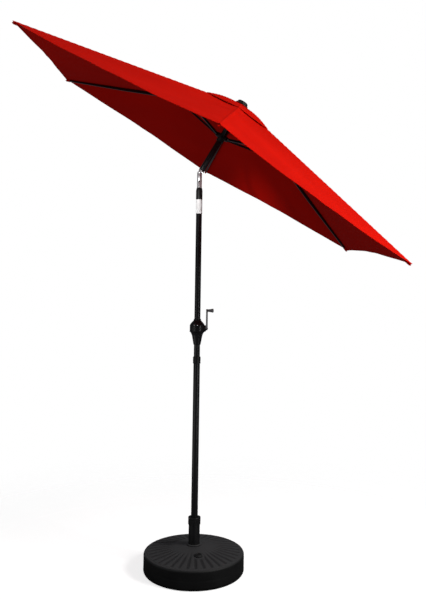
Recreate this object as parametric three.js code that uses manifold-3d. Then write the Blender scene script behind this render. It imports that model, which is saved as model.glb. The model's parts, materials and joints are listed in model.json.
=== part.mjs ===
// A six-rib patio umbrella with crank lift and push-button tilt, on a round filled base.
// Millimetres, +Z up. The origin is the centre of the base's underside. The canopy tilts
// towards +X about a pin that lies along Y, and is drawn fully open and fully tilted.
import * as THREE from 'three';
import { mergeVertices } from 'three/addons/utils/BufferGeometryUtils.js';
import Module from 'manifold-3d';

const wasm = await Module();
wasm.setup();

// ---------------------------------------------------------------- driving dimensions
const GAP = 0.3; // between pieces that touch
const DEG = Math.PI / 180;

const RIBS = 6;
const FIRST_RIB_TURN = -15; // degrees from the tilt direction to the first rib
const CANOPY_RADIUS = 1150; // axis to a canopy corner
const CANOPY_APEX = 416; // height of the canopy's point above the tilt pin, along the mast
const CANOPY_RIM = 106; // height of its corners
const CLOTH = 1.5;
const SCALLOP = 26; // how far a hem bows in at its middle
const VENT_HOLE = 60; // open centre of the main canopy
const SLOPE = Math.atan((CANOPY_APEX - CANOPY_RIM) / CANOPY_RADIUS);

const TILT = 31.2 * DEG;
const TILT_PIN_Z = 1892;

const base = {
  radius: 235,
  height: 86,
  crown: 114,
  crownRadius: 36,
  wall: 3,
  bottomEdge: 14,
  topEdge: 10,
  wellRadius: 27,
  wellFloor: 6,
};
const fill = { x: 44, y: -103, holeRadius: 13.4, level: 48, seat: 106, bossRadius: 19 };
const neck = { outer: 26.5, inner: 20, top: 219 };
const pole = { lower: 16, upper: 15, spigot: 14.5, bore: 13.3, joint: 958, spigotFoot: 850, top: 1800 };
const knuckle = { radius: 12.5, bore: 9, foot: 1765, slot: 5, pin: 3, drop: 13 };
const crank = { z: 1112, throw: 87, shaft: 4, drum: 7.5, hubX: 45, armThickness: 6, knobEnd: 81 };
const housing = { bottom: 1033, top: 1158, belly: 37, flatten: 0.95, shell: 2.6 };
const button = { z: 1850, radius: 4.2, proud: 16 };

const tube = { outer: 15, inner: 13.5, foot: 20.3, top: 392 };
const hub = { pivotRadius: 27, pivotW: 398, radius: 36, bottom: 388, top: 408, wire: 1.5 };
const runner = {
  pivotW: 222,
  bottom: 196,
  top: 236,
  flangeBottom: 214,
  flangeTop: 234,
  bore: 15.6,
  sleeve: 19.5,
};
const rib = { width: 9, half: 7.5, tipHalf: 4, endRadius: 1140, strutAt: 370 };
const strut = { half: 5.5, bar: 4, forkInner: 5.1, forkOuter: 7.2, forkLength: 40 };
const cord = { radius: 1.5, sides: 8, turn: 15 };
const pulley = { w: 374, rim: 10.5, groove: 8, halfWidth: 3, bore: 2.4, pin: 2 };

// ---------------------------------------------------------------- looks
const looks = {
  cloth: { color: 0xd21608, roughness: 0.85, metalness: 0 },
  blackMetal: { color: 0x141414, roughness: 0.35, metalness: 0.6 },
  blackPlastic: { color: 0x121212, roughness: 0.5, metalness: 0 },
  basePlastic: { color: 0x2b2c2d, roughness: 0.55, metalness: 0 },
  chrome: { color: 0xd8dadc, roughness: 0.15, metalness: 1 },
  greyMetal: { color: 0x8d9093, roughness: 0.35, metalness: 0.9 },
  label: { color: 0xf2f2f0, roughness: 0.7, metalness: 0 },
  sand: { color: 0xc8b48a, roughness: 0.95, metalness: 0 },
  cordFibre: { color: 0x1c1c1e, roughness: 0.9, metalness: 0 },
};

// ---------------------------------------------------------------- helpers
function facingOut(geometry) {
  const p = geometry.attributes.position;
  const index = geometry.index ? geometry.index.array : [...Array(p.count).keys()];
  const [a, b, c] = [new THREE.Vector3(), new THREE.Vector3(), new THREE.Vector3()];
  let volume = 0;
  for (let i = 0; i < index.length; i += 3) {
    a.fromBufferAttribute(p, index[i]);
    b.fromBufferAttribute(p, index[i + 1]);
    c.fromBufferAttribute(p, index[i + 2]);
    volume += a.dot(b.cross(c));
  }
  if (volume > 0) return geometry;
  const turned = Array.from(index);
  for (let i = 0; i < turned.length; i += 3) [turned[i], turned[i + 1]] = [turned[i + 1], turned[i]];
  geometry.setIndex(turned);
  return geometry;
}

function solidOf(geometry) {
  const bare = geometry.clone();
  bare.deleteAttribute('normal');
  bare.deleteAttribute('uv');
  const merged = mergeVertices(facingOut(bare), 1e-4);
  return new wasm.Manifold(new wasm.Mesh({
    numProp: 3,
    vertProperties: new Float32Array(merged.attributes.position.array),
    triVerts: new Uint32Array(merged.index.array),
  }));
}

function geometryOf(solid) {
  const mesh = solid.getMesh();
  const geometry = new THREE.BufferGeometry();
  geometry.setAttribute('position', new THREE.BufferAttribute(mesh.vertProperties, 3));
  geometry.setIndex(new THREE.BufferAttribute(mesh.triVerts, 1));
  return geometry;
}

// a solid of revolution about Z from [radius, z] points
function spun(points, segments = 24) {
  const profile = points.map(([r, z]) => new THREE.Vector2(r, z));
  return facingOut(new THREE.LatheGeometry(profile, segments).rotateX(Math.PI / 2));
}

function ring(inner, outer, low, high, segments = 24) {
  return spun([[inner, low], [outer, low], [outer, high], [inner, high], [inner, low]], segments);
}

function rod(radius, low, high, segments = 24) {
  return new THREE.CylinderGeometry(radius, radius, high - low, segments)
    .rotateX(Math.PI / 2)
    .translate(0, 0, (low + high) / 2);
}

// a shape spun about Z, laid along another axis
const alongX = (geometry) => geometry.rotateY(Math.PI / 2);
const alongY = (geometry) => geometry.rotateX(-Math.PI / 2);

function block(x, y, z) {
  return new THREE.BoxGeometry(x[1] - x[0], y[1] - y[0], z[1] - z[0])
    .translate((x[0] + x[1]) / 2, (y[0] + y[1]) / 2, (z[0] + z[1]) / 2);
}

// [radius, z] points of a quarter arc, from the angle `from` to `to` in degrees
function arc(r, z, radius, from, to, steps = 4) {
  return Array.from({ length: steps + 1 }, (_, i) => {
    const angle = (from + (to - from) * i / steps) * DEG;
    return [r + radius * Math.cos(angle), z + radius * Math.sin(angle)];
  });
}

function piped(points, radius, sides, steps) {
  const section = new THREE.Shape(Array.from({ length: sides }, (_, i) => new THREE.Vector2(
    radius * Math.cos(2 * Math.PI * i / sides),
    radius * Math.sin(2 * Math.PI * i / sides),
  )));
  const extrudePath = new THREE.CatmullRomCurve3(points);
  return new THREE.ExtrudeGeometry(section, { steps, extrudePath, bevelEnabled: false });
}

// a flat outline in XY, extruded by `thickness` centred on its plane
function plate(outline, thickness) {
  const drawn = outline instanceof THREE.Shape;
  const shape = drawn ? outline : new THREE.Shape(outline.map(([x, y]) => new THREE.Vector2(x, y)));
  return new THREE.ExtrudeGeometry(shape, { depth: thickness, bevelEnabled: false, curveSegments: 8 })
    .translate(0, 0, -thickness / 2);
}

function place(parent, name, geometry, look) {
  const mesh = new THREE.Mesh(facingOut(geometry), new THREE.MeshStandardMaterial(look));
  mesh.name = name;
  parent.add(mesh);
  return mesh;
}

const turnedBy = (i) => (FIRST_RIB_TURN + 360 / RIBS * i) * DEG;

// ---------------------------------------------------------------- base
function baseShell() {
  const { radius, height, wall, bottomEdge, topEdge, wellRadius, wellFloor, crown, crownRadius } = base;
  const outside = spun([
    [0, 0],
    ...arc(radius - bottomEdge, bottomEdge, bottomEdge, -90, 0),
    ...arc(radius - topEdge, height - topEdge, topEdge, 0, 90),
    [crownRadius, crown],
    [wellRadius, crown],
    [wellRadius, wellFloor],
    [0, wellFloor],
  ], 40);
  const hollow = spun([
    [wellRadius + wall, wall],
    ...arc(radius - bottomEdge, bottomEdge, bottomEdge - wall, -90, 0, 2),
    ...arc(radius - topEdge, height - topEdge, topEdge - wall, 0, 90, 2),
    [crownRadius, crown - wall],
    [wellRadius + wall, crown - wall],
    [wellRadius + wall, wall],
  ], 40);
  const boss = rod(fill.bossRadius, fill.seat - 8, fill.seat).translate(fill.x, fill.y, 0);
  const mouth = rod(fill.holeRadius, fill.seat - 16, fill.seat + 1).translate(fill.x, fill.y, 0);
  return geometryOf(solidOf(outside).subtract(solidOf(hollow)).add(solidOf(boss)).subtract(solidOf(mouth)));
}

function buildBase(parent) {
  const { radius, wall, bottomEdge, wellRadius, crown } = base;
  const clear = wall + 2 * GAP;
  place(parent, 'base_shell', baseShell(), looks.basePlastic);
  place(parent, 'ballast_fill', spun([
    [wellRadius + clear, clear],
    ...arc(radius - bottomEdge, bottomEdge, bottomEdge - clear, -90, 0, 2),
    [radius - clear, fill.level],
    [wellRadius + clear, fill.level],
    [wellRadius + clear, clear],
  ], 40), looks.sand);
  place(parent, 'fill_plug', spun([
    [0, fill.seat - 12],
    [fill.holeRadius - 0.4, fill.seat - 12],
    [fill.holeRadius - 0.4, fill.seat + GAP],
    [16.5, fill.seat + GAP],
    [16.5, fill.seat + 2.5],
    [15, fill.seat + 4],
    [0, fill.seat + 4],
  ]).translate(fill.x, fill.y, 0), looks.blackPlastic);

  place(parent, 'neck_tube', ring(neck.inner, neck.outer, 8, neck.top), looks.blackPlastic);
  place(parent, 'neck_foot_ring', spun([
    [neck.outer + 0.4, crown + GAP],
    [34.5, crown + GAP],
    [34, crown + 3],
    [neck.outer + 2, crown + 6],
    [neck.outer + 0.4, crown + 6],
    [neck.outer + 0.4, crown + GAP],
  ]), looks.basePlastic);
  place(parent, 'neck_bush', spun([
    [pole.lower + 0.35, 120],
    [neck.inner - 0.4, 120],
    [neck.inner - 0.4, neck.top + GAP],
    [24, neck.top + GAP],
    [24, neck.top + 4],
    [20, neck.top + 8],
    [pole.lower + 0.35, neck.top + 8],
    [pole.lower + 0.35, 120],
  ]), looks.blackPlastic);
  const inside = neck.outer + 0.4;
  place(parent, 'neck_cap', spun([
    [inside, neck.top - 15.5],
    [29, neck.top - 15.5],
    [29.25, neck.top - 14],
    [29.25, neck.top + 8],
    [27.5, neck.top + 14.5],
    [23, neck.top + 18],
    [17.2, neck.top + 18],
    [16.6, neck.top + 17],
    [16.6, neck.top + 8.6],
    [20.4, neck.top + 8.6],
    [24.4, neck.top + 4.6],
    [inside, neck.top + 4.6],
    [inside, neck.top - 15.5],
  ]), looks.blackPlastic);
}

// ---------------------------------------------------------------- lower and upper mast
function upperPole() {
  const body = spun([
    [pole.bore, pole.spigotFoot],
    [pole.spigot, pole.spigotFoot],
    [pole.spigot, pole.joint + 0.5],
    [pole.upper, pole.joint + 1],
    [pole.upper, pole.top],
    [pole.bore, pole.top],
    [pole.bore, pole.spigotFoot],
  ]);
  const shaftHole = alongX(rod(crank.shaft + 0.4, -20, 20)).translate(0, 0, crank.z);
  let solid = solidOf(body).subtract(solidOf(shaftHole));
  for (const screw of screws) solid = solid.subtract(solidOf(screwHole(screw)));
  return geometryOf(solid);
}

function buildMast(parent) {
  place(parent, 'lower_pole', ring(pole.spigot + GAP, pole.lower, 12, pole.joint), looks.blackMetal);
  place(parent, 'pole_foot_cap', spun([
    [0, base.wellFloor + GAP],
    [pole.lower, base.wellFloor + GAP],
    [pole.lower, 11.7],
    [pole.spigot, 11.7],
    [pole.spigot, 30],
    [0, 30],
  ]), looks.blackPlastic);
  place(parent, 'pole_collar', spun([
    [pole.lower + GAP, pole.joint - 15.5],
    [17.6, pole.joint - 15.5],
    [18.5, pole.joint - 14],
    [18.5, pole.joint + 16],
    [17.6, pole.joint + 17.5],
    [pole.upper + GAP, pole.joint + 17.5],
    [pole.upper + GAP, pole.joint + 0.4],
    [pole.lower + GAP, pole.joint + 0.4],
    [pole.lower + GAP, pole.joint - 15.5],
  ]), looks.blackPlastic);
  place(parent, 'upper_pole', upperPole(), looks.blackMetal);
  place(parent, 'label_band', ring(pole.upper + GAP, pole.upper + 0.8, 1684, 1757.5), looks.label);
  place(parent, 'tilt_sleeve', spun([
    [pole.upper + GAP, 1758],
    [16.4, 1758],
    [16.4, 1804],
    [13.6, 1819],
    [knuckle.radius + GAP, 1819],
    [knuckle.radius + GAP, pole.top + GAP],
    [pole.upper + GAP, pole.top + GAP],
    [pole.upper + GAP, 1758],
  ]), looks.blackPlastic);
}

// ---------------------------------------------------------------- tilt joint
function lowerKnuckle() {
  const { radius, bore, foot, slot, drop, pin } = knuckle;
  const reach = 2 * radius;
  const rounded = solidOf(block([-reach, reach], [-reach, reach], [foot - 1, TILT_PIN_Z]))
    .add(solidOf(alongY(rod(radius, -reach, reach)).translate(0, 0, TILT_PIN_Z)));
  return geometryOf(solidOf(rod(radius, foot, TILT_PIN_Z + radius))
    .intersect(rounded)
    .subtract(solidOf(rod(bore, foot - 1, TILT_PIN_Z - drop)))
    .subtract(solidOf(block([-reach, reach], [-slot, slot], [TILT_PIN_Z - drop - 0.01, TILT_PIN_Z + reach])))
    .subtract(solidOf(alongY(rod(pin + GAP, -reach, reach, 16)).translate(0, 0, TILT_PIN_Z)))
    .subtract(solidOf(alongY(rod(button.radius + 0.4, -reach, 0)).translate(0, 0, button.z))));
}

// drawn about the tilt pin at the origin, with the mast going up +Z
function upperKnuckle() {
  const tongue = knuckle.slot - GAP;
  const reach = 2 * knuckle.radius;
  return geometryOf(solidOf(alongY(rod(12, -tongue, tongue)))
    .add(solidOf(block([-11.5, 11.5], [-tongue, tongue], [0, 15])))
    .add(solidOf(rod(tube.outer, 14, tube.foot - GAP)))
    .add(solidOf(rod(tube.inner - GAP, 15, 55)))
    .subtract(solidOf(rod(cord.radius + 0.8, -reach, 56, 12).translate(CORD_HOLE_X, 0, 0)))
    .subtract(solidOf(alongY(rod(knuckle.pin + GAP, -reach, reach, 16)))));
}

function coil(radius, wire, from, to, turns) {
  const stepsPerTurn = 8;
  const points = Array.from({ length: turns * stepsPerTurn + 1 }, (_, i) => {
    const angle = 2 * Math.PI * i / stepsPerTurn;
    const along = from + (to - from) * i / (turns * stepsPerTurn);
    return new THREE.Vector3(radius * Math.cos(angle), along, radius * Math.sin(angle));
  });
  return piped(points, wire, 5, turns * stepsPerTurn);
}

function buildTilt(parent) {
  place(parent, 'lower_knuckle', lowerKnuckle(), looks.chrome);
  const pin = alongY(rod(knuckle.pin, -12.3, 12.3, 16));
  place(parent, 'tilt_pin', pin, looks.greyMetal).position.z = TILT_PIN_Z;
  place(parent, 'tilt_button', alongY(spun([
    [0, -button.proud],
    [button.radius - 0.8, -button.proud],
    [button.radius, -button.proud + 0.8],
    [button.radius, -6.6],
    [5.5, -6.6],
    [5.5, -5.2],
    [0, -5.2],
  ])), looks.blackPlastic).position.z = button.z;
  place(parent, 'button_spring', coil(3, 0.45, -4.6, 8, 5), looks.greyMetal).position.z = button.z;
}

// ---------------------------------------------------------------- crank
const screws = [-8, 8].map((x) => ({ x, z: crank.z + 16 }));
const SCREW_FLOOR_Y = -32;

function screwHole({ x, z }) {
  return alongY(rod(1.9, -40, -10, 12)).translate(x, 0, z);
}

function housingHalves() {
  const { bottom, top, belly, flatten, shell } = housing;
  const profile = (inset) => [
    [0, bottom + inset],
    [17.5 - inset, bottom + inset],
    [26 - inset, bottom + 45],
    [belly - inset, bottom + 66],
    [belly - inset, top - 31],
    [24 - inset, top - 10],
    [17.5 - inset, top - inset],
    [0, top - inset],
  ];
  let whole = solidOf(spun(profile(0), 32).scale(1, flatten, 1))
    .add(solidOf(alongX(rod(15, 20, crank.hubX - 1)).translate(0, 0, crank.z)))
    .subtract(solidOf(spun(profile(shell), 32).scale(1, flatten, 1)))
    .subtract(solidOf(rod(pole.upper + GAP, bottom - 1, top + 1)))
    .subtract(solidOf(alongX(rod(crank.shaft + 0.4, 0, 60)).translate(0, 0, crank.z)));
  for (const screw of screws) {
    const counterbore = alongY(rod(3.6, -50, SCREW_FLOOR_Y, 12)).translate(screw.x, 0, screw.z);
    whole = whole.subtract(solidOf(screwHole(screw))).subtract(solidOf(counterbore));
  }
  const half = (y) => geometryOf(whole.intersect(solidOf(block([-60, 60], y, [bottom - 5, top + 5]))));
  return { front: half([-60, -GAP / 2]), back: half([GAP / 2, 60]) };
}

function crankArm() {
  const { hubX, armThickness, throw: reach, shaft, knobEnd } = crank;
  const stadium = new THREE.Shape([
    ...Array.from({ length: 9 }, (_, i) => onCircle(0, 9, 90 + 180 * i / 8)),
    ...Array.from({ length: 9 }, (_, i) => onCircle(reach, 7, -90 + 180 * i / 8)),
  ]);
  const bar = plate(stadium, armThickness).rotateY(-Math.PI / 2).translate(hubX + armThickness / 2, 0, 0);
  const pin = alongX(rod(3, hubX + 1, knobEnd - 2, 12)).translate(0, 0, reach);
  const bore = alongX(rod(shaft + GAP, 0, 90));
  return geometryOf(solidOf(bar).add(solidOf(pin)).subtract(solidOf(bore)));
}

function onCircle(centre, radius, degrees) {
  return new THREE.Vector2(centre + radius * Math.cos(degrees * DEG), radius * Math.sin(degrees * DEG));
}

function buildCrank(parent) {
  const halves = housingHalves();
  place(parent, 'housing_front', halves.front, looks.blackPlastic);
  place(parent, 'housing_back', halves.back, looks.blackPlastic);
  screws.forEach(({ x, z }, i) => {
    const screw = spun([
      [0, -34.6],
      [2.2, -34.6],
      [3.2, -33.8],
      [3.2, SCREW_FLOOR_Y - GAP],
      [1.6, SCREW_FLOOR_Y - GAP],
      [1.6, -12.5],
      [0, -12.5],
    ], 12);
    place(parent, `housing_screw_${i + 1}`, alongY(screw), looks.chrome).position.set(x, 0, z);
  });
  place(parent, 'crank_spool', alongX(spun([
    [0, -21],
    [crank.shaft, -21],
    [crank.shaft, -10.5],
    [crank.drum, -10.5],
    [crank.drum, 10.5],
    [crank.shaft, 10.5],
    [crank.shaft, 52.5],
    [2.5, 54],
    [0, 54],
  ])), looks.greyMetal).position.z = crank.z;
  place(parent, 'crank_arm', crankArm(), looks.greyMetal).position.z = crank.z;
  place(parent, 'crank_knob', alongX(spun([
    [3.3, 51.5],
    [7.2, 51.5],
    [8.5, 54],
    [8.5, 76],
    [7, crank.knobEnd],
    [3.3, crank.knobEnd],
    [3.3, 51.5],
  ])), looks.greyMetal).position.z = crank.z + crank.throw;
}

// ---------------------------------------------------------------- tilted head of the mast
// everything here is drawn about the tilt pin, with the mast going up +Z
const CORD_HOLE_X = 7;

// a flange on a sleeve, slotted for the bars, with an open channel for the wire they turn on
function slottedHub(profile, channel, slotFrom, slotWidth, low, high) {
  let solid = solidOf(spun(profile)).subtract(solidOf(ring(hub.pivotRadius - hub.wire - GAP,
    hub.pivotRadius + hub.wire + GAP, channel[0], channel[1])));
  for (let i = 0; i < RIBS; i += 1) {
    const slot = block([slotFrom, hub.radius + 5], [-slotWidth / 2, slotWidth / 2], [low, high]);
    solid = solid.subtract(solidOf(slot.rotateZ(turnedBy(i))));
  }
  return geometryOf(solid);
}

function topHub() {
  const skirt = tube.outer + GAP;
  return slottedHub([
    [skirt, hub.bottom - 18],
    [18.4, hub.bottom - 18],
    [18.4, hub.bottom],
    [hub.radius, hub.bottom],
    [hub.radius, hub.top - 3],
    [hub.radius - 3, hub.top],
    [6.3, hub.top],
    [6.3, tube.top + GAP],
    [skirt, tube.top + GAP],
    [skirt, hub.bottom - 18],
  ], [hub.bottom - 1, hub.pivotW + hub.wire + GAP], 19, rib.width + 1, hub.bottom - 10, hub.top + 5);
}

function runnerHub() {
  return slottedHub([
    [runner.bore, runner.bottom],
    [runner.sleeve, runner.bottom],
    [runner.sleeve, runner.flangeBottom],
    [hub.radius, runner.flangeBottom],
    [hub.radius, runner.flangeTop],
    [runner.sleeve, runner.flangeTop],
    [runner.sleeve, runner.top],
    [runner.bore, runner.top],
    [runner.bore, runner.bottom],
  ], [runner.pivotW - hub.wire - GAP, runner.top + 1], 19.8, 2 * strut.bar + 1, runner.flangeBottom - 5,
  runner.top + 5);
}

function wireRing(w) {
  return new THREE.TorusGeometry(hub.pivotRadius, hub.wire, 6, 30).translate(0, 0, w);
}

function upperTube() {
  const slot = block([11, 17], [-3, 3], [335, 366]);
  const pinHole = alongY(rod(pulley.pin + GAP, -20, 20, 12)).translate(0, 0, pulley.w);
  return geometryOf(solidOf(ring(tube.inner, tube.outer, tube.foot, tube.top))
    .subtract(solidOf(slot.rotateZ(cord.turn * DEG)))
    .subtract(solidOf(pinHole.rotateZ(cord.turn * DEG))));
}

function buildHead(head) {
  place(head, 'upper_knuckle', upperKnuckle(), looks.chrome);
  place(head, 'upper_tube', upperTube(), looks.blackMetal);
  place(head, 'top_hub', topHub(), looks.blackPlastic);
  place(head, 'hub_wire', wireRing(hub.pivotW), looks.greyMetal);
  place(head, 'runner', runnerHub(), looks.blackPlastic);
  place(head, 'runner_wire', wireRing(runner.pivotW), looks.greyMetal);
  place(head, 'finial', spun([
    [0, 396],
    [6, 396],
    [6, CANOPY_APEX + 0.4],
    [33, CANOPY_APEX + 0.4],
    [34, CANOPY_APEX + 2],
    [33, CANOPY_APEX + 6],
    [28, CANOPY_APEX + 11],
    [18, CANOPY_APEX + 14],
    [8, CANOPY_APEX + 15],
    [0, CANOPY_APEX + 15],
  ]), looks.blackPlastic);

  const { rim, groove, halfWidth, bore, pin } = pulley;
  const wheel = alongY(spun([
    [bore, -halfWidth],
    [rim, -halfWidth],
    [rim, -halfWidth + 0.8],
    [groove, -1.2],
    [groove, 1.2],
    [rim, halfWidth - 0.8],
    [rim, halfWidth],
    [bore, halfWidth],
    [bore, -halfWidth],
  ]));
  const across = new THREE.Group();
  across.position.z = pulley.w;
  across.rotation.z = cord.turn * DEG;
  head.add(across);
  place(across, 'cord_pulley', wheel, looks.blackPlastic);
  place(across, 'pulley_pin', alongY(rod(pin, -14.8, 14.8, 12)), looks.greyMetal);
}

// ---------------------------------------------------------------- ribs and struts
function ribBar() {
  const length = (rib.endRadius - hub.pivotRadius) / Math.cos(SLOPE);
  const side = new THREE.Shape([
    ...Array.from({ length: 9 }, (_, i) => onCircle(0, rib.half, 90 + 180 * i / 8)),
    new THREE.Vector2(length * 0.6, -rib.half),
    new THREE.Vector2(length, rib.half - 2 * rib.tipHalf),
    new THREE.Vector2(length, rib.half),
  ]);
  const eye = new THREE.Path().absarc(0, 0, hub.wire + 0.5, 0, 2 * Math.PI, true);
  side.holes.push(eye);
  return plate(side, rib.width).rotateX(Math.PI / 2);
}

function strutBar(length) {
  const { bar, forkInner, forkOuter, forkLength, half } = strut;
  const tip = length + 4;
  const root = length - forkLength;
  const right = [[-4, -bar], [root - 10, -bar], [root - 2, -forkOuter], [tip, -forkOuter], [tip, -forkInner],
    [root, -forkInner]];
  const left = right.map(([x, y]) => [x, -y]).reverse();
  const eye = alongY(rod(hub.wire + 0.5, -20, 20, 12));
  return geometryOf(solidOf(plate([...right, ...left], 2 * half)).subtract(solidOf(eye)));
}

function buildRibs(head) {
  const joint = new THREE.Vector2(
    hub.pivotRadius + rib.strutAt * Math.cos(SLOPE),
    hub.pivotW - rib.strutAt * Math.sin(SLOPE),
  );
  const foot = new THREE.Vector2(hub.pivotRadius, runner.pivotW);
  const rise = Math.atan2(joint.y - foot.y, joint.x - foot.x);
  for (let i = 0; i < RIBS; i += 1) {
    const spoke = new THREE.Group();
    spoke.rotation.z = turnedBy(i);
    head.add(spoke);
    const bar = place(spoke, `rib_${i + 1}`, ribBar(), looks.blackMetal);
    bar.position.set(hub.pivotRadius, 0, hub.pivotW);
    bar.rotation.y = SLOPE;
    const brace = place(spoke, `strut_${i + 1}`, strutBar(joint.distanceTo(foot)), looks.blackMetal);
    brace.position.set(hub.pivotRadius, 0, runner.pivotW);
    brace.rotation.y = -rise;
  }
}

// ---------------------------------------------------------------- canopy
const HALF_TURN = Math.PI / RIBS; // from a rib to the middle of a panel
const PANEL_SLOPE = Math.atan(Math.tan(SLOPE) / Math.cos(HALF_TURN));

// half of a panel in its own plane: x runs down the middle of the panel, y towards the rib
function halfPanel(side) {
  const along = (distance) => distance * Math.cos(HALF_TURN) / Math.cos(PANEL_SLOPE);
  const across = (distance) => distance * Math.sin(HALF_TURN);
  const hem = Array.from({ length: 7 }, (_, i) => {
    const t = 1 - i / 6;
    return [along(CANOPY_RADIUS) - SCALLOP * (1 - t * t), Math.max(t * across(CANOPY_RADIUS) - GAP, GAP / 2)];
  });
  const outline = [
    [along(VENT_HOLE), GAP / 2],
    [along(VENT_HOLE), across(VENT_HOLE) - GAP],
    ...hem,
  ];
  return plate(outline.map(([x, y]) => [x, side * y]), CLOTH);
}

function buildCanopy(head) {
  for (let i = 0; i < RIBS; i += 1) {
    for (const [side, word] of [[1, 'left'], [-1, 'right']]) {
      const panel = new THREE.Group();
      panel.position.z = CANOPY_APEX;
      panel.rotation.z = turnedBy(i) + side * HALF_TURN;
      head.add(panel);
      place(panel, `canopy_${i + 1}_${word}`, halfPanel(-side), looks.cloth).rotation.y = PANEL_SLOPE;
    }
  }
  const ridge = [[9, 0], [48, 1], [66, 2.5], [93, 6], [132, 19], [170, 34.5], [205, 52]];
  const outside = ridge.map(([r, fall]) => [r, CANOPY_APEX - fall]);
  const inside = ridge.map(([r, fall]) => [r, CANOPY_APEX - fall - CLOTH]).reverse();
  const cap = new THREE.LatheGeometry(
    [...outside, ...inside, outside[0]].map(([r, w]) => new THREE.Vector2(r, w)),
    RIBS,
    Math.PI / 2 + turnedBy(0),
  ).rotateX(Math.PI / 2);
  place(head, 'vent_cap', cap, looks.cloth);
}

// ---------------------------------------------------------------- lift cord
function buildCord(parent, head) {
  const drumSide = -(crank.drum + cord.radius + GAP);
  const pastSpring = -5.5;
  const inPole = [
    [0, drumSide, crank.z + 1],
    [0, drumSide, crank.z + 30],
    [-2, drumSide / 2, crank.z + 150],
    [pastSpring, 0, crank.z + 400],
    [pastSpring, 0, button.z - 30],
    [pastSpring, 0, button.z + 10],
    [-3, 0, button.z + 21],
    [0.1, 0, button.z + 27.5],
  ].map((p) => new THREE.Vector3(...p));
  place(parent, 'lift_cord_lower', piped(inPole, cord.radius, cord.sides, 28), looks.cordFibre);

  const bend = pulley.groove + cord.radius + 0.6;
  const turn = cord.turn * DEG;
  const inPlane = (x, w) => new THREE.Vector3(x * Math.cos(turn), x * Math.sin(turn), w);
  const overPulley = Array.from({ length: 9 }, (_, i) => {
    const angle = Math.PI * (1 - i / 8);
    return inPlane(bend * Math.cos(angle), pulley.w + bend * Math.sin(angle));
  });
  const outside = tube.outer + cord.radius + 0.5;
  const inHead = [
    new THREE.Vector3(CORD_HOLE_X, 0, -11.2),
    new THREE.Vector3(CORD_HOLE_X, 0, 25),
    new THREE.Vector3(CORD_HOLE_X, 0, 58),
    inPlane(-bend, 150),
    inPlane(-bend, 260),
    inPlane(-bend, pulley.w - 20),
    ...overPulley,
    inPlane(bend + 0.6, pulley.w - 10),
    inPlane(outside, pulley.w - 30),
    inPlane(outside, pulley.w - 45),
    inPlane(outside, runner.top + 0.5),
  ];
  place(head, 'lift_cord_upper', piped(inHead, cord.radius, cord.sides, 72), looks.cordFibre);
}

// ---------------------------------------------------------------- assembly
const umbrella = new THREE.Group();
buildBase(umbrella);
buildMast(umbrella);
buildTilt(umbrella);
buildCrank(umbrella);

const head = new THREE.Group();
head.position.z = TILT_PIN_Z;
head.rotation.y = TILT;
umbrella.add(head);
buildHead(head);
buildRibs(head);
buildCanopy(head);
buildCord(umbrella, head);

export default umbrella;
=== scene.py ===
"""Looks of a six-rib patio umbrella with crank lift, tilt and a round filled base.

Metres, in the frame's own axes: +Z up the mast, the canopy tilted towards +X about a pin along Y.
Points on the tilted head are given as radius from the mast, azimuth, and height w above the pin.
"""
import json
import math
from math import cos, exp, pi, radians, sin

import bmesh
import bpy
import numpy as np
from mathutils import Matrix, Vector, noise


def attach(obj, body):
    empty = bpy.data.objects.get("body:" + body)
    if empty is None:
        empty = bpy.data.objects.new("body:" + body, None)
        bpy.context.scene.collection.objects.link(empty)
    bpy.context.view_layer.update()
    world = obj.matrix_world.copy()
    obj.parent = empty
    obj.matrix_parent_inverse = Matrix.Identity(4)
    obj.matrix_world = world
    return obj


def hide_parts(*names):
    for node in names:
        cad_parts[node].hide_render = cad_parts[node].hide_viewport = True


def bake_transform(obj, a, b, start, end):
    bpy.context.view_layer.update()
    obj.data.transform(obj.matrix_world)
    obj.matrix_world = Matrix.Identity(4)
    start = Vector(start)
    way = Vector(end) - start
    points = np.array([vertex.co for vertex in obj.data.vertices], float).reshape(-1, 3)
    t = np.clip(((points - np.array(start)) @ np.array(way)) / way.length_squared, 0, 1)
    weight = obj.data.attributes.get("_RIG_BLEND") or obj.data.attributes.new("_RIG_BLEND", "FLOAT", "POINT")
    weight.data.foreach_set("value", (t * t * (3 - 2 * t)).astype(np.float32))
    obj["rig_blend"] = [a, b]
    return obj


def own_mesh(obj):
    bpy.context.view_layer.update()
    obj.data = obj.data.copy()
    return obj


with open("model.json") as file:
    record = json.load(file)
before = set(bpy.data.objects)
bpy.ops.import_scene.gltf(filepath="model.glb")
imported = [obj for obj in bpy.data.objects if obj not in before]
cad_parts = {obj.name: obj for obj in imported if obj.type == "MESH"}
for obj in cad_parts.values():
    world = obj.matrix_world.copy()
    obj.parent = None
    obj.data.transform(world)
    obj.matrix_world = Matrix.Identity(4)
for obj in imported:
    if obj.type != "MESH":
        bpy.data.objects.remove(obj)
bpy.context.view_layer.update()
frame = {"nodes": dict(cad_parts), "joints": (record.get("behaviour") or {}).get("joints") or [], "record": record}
joints = {joint["name"]: joint for joint in frame["joints"]}

# ---- driving dimensions
RIBS = 6
FIRST_RIB = radians(-15)  # azimuth of rib 1 about the mast, from the tilt direction
HALF_PANEL = pi / RIBS  # from a rib to the middle of a panel
PIN = Vector(joints["canopy_tilt"]["pos_m"])
TILT = -radians(joints["canopy_tilt"]["range_deg"][0])

RADIUS = 1.150  # mast axis to a canopy corner
APEX = 0.416  # height of the cloth's point above the pin
RIM = 0.106  # height of its corners
VENT_HOLE = 0.060
SLOPE = math.atan((APEX - RIM) / RADIUS)
PANEL_SLOPE = math.atan(math.tan(SLOPE) / cos(HALF_PANEL))

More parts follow.
